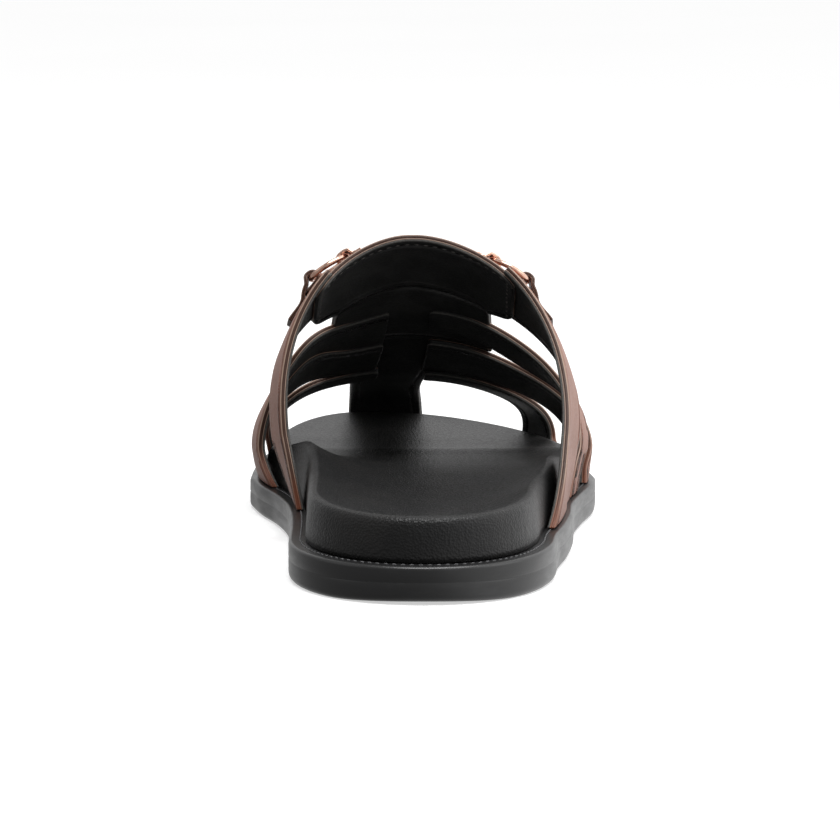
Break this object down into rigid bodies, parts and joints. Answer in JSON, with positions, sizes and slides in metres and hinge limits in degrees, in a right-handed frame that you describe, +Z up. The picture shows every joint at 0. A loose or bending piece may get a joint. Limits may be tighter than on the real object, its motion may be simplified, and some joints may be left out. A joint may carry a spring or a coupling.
{
  "type": "fisherman sandal",
  "caption": "Backless fisherman slide sandal, right shoe: centre panel, side straps and toe band over a contoured leather footbed on a flat rubber outsole, with metal rings at the shoulders.",
  "frame": {"origin": "centre of the shoe's box, on the floor under the sole", "axes": "+Y from heel to toe, +Z up, +X to the lateral (outer) side of the right foot"},
  "size_m": [0.097, 0.257, 0.0808],
  "materials": {
    "outsole_rubber": "satin moulded rubber",
    "footbed_leather": "fine grained leather with a soft sheen",
    "upper_leather": "smooth leather with dark painted edges and a black lining",
    "loop_leather": "smooth leather",
    "ring_metal": "polished rose gold plate",
    "keeper_metal": "polished rose gold plate"
  },
  "bodies": {
    "root": {"outsole": "outsole_rubber", "footbed": "footbed_leather", "upper": "upper_leather", "ring_medial": "ring_metal", "ring_lateral": "ring_metal", "loop_medial": "loop_leather", "loop_lateral": "loop_leather", "keeper_medial": "keeper_metal", "keeper_lateral": "keeper_metal"}
  },
  "joints": []
}
